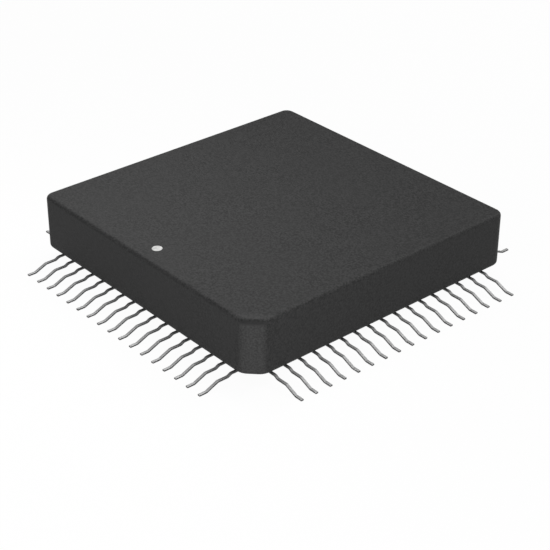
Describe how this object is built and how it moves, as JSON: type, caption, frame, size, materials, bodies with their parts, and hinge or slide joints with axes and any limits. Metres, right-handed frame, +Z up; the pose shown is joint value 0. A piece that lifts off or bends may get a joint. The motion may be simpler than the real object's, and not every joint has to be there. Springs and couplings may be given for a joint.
{
  "type": "analog-to-digital converter chip",
  "caption": "Square black ceramic surface-mount chip that turns analog signals into digital ones, with fine gull-wing leads on all sides, a cut index corner and a white dot.",
  "frame": {"origin": "centre of the square body, in the plane that the feet of the leads stand on", "axes": "+Z up from the board to the plain top; -Y the front, the side beside the white dot; the cut index corner is at +X -Y"},
  "size_m": [0.03, 0.03, 0.0051],
  "materials": {
    "black_ceramic": "matt, fine grain",
    "white_paint": "matt",
    "lead_metal": "satin, dipped",
    "braze_metal": "satin",
    "lid_plate": "satin, plated",
    "gold_seal": "dull",
    "gold_trace": "satin",
    "silicon": "polished",
    "wire_metal": "bright drawn"
  },
  "bodies": {
    "root": {"package_body": "black_ceramic", "first_lead_dot": "white_paint", "lead_row_front": "lead_metal", "lead_row_right": "lead_metal", "lead_row_back": "lead_metal", "lead_row_left": "lead_metal", "braze_pads_front": "braze_metal", "braze_pads_right": "braze_metal", "braze_pads_back": "braze_metal", "braze_pads_left": "braze_metal", "lid": "lid_plate", "lid_seal": "gold_seal", "converter_die": "silicon", "die_attach": "gold_seal", "bond_fingers_front": "gold_trace", "bond_fingers_right": "gold_trace", "bond_fingers_back": "gold_trace", "bond_fingers_left": "gold_trace", "bond_wires_front": "wire_metal", "bond_wires_right": "wire_metal", "bond_wires_back": "wire_metal", "bond_wires_left": "wire_metal"}
  },
  "joints": []
}
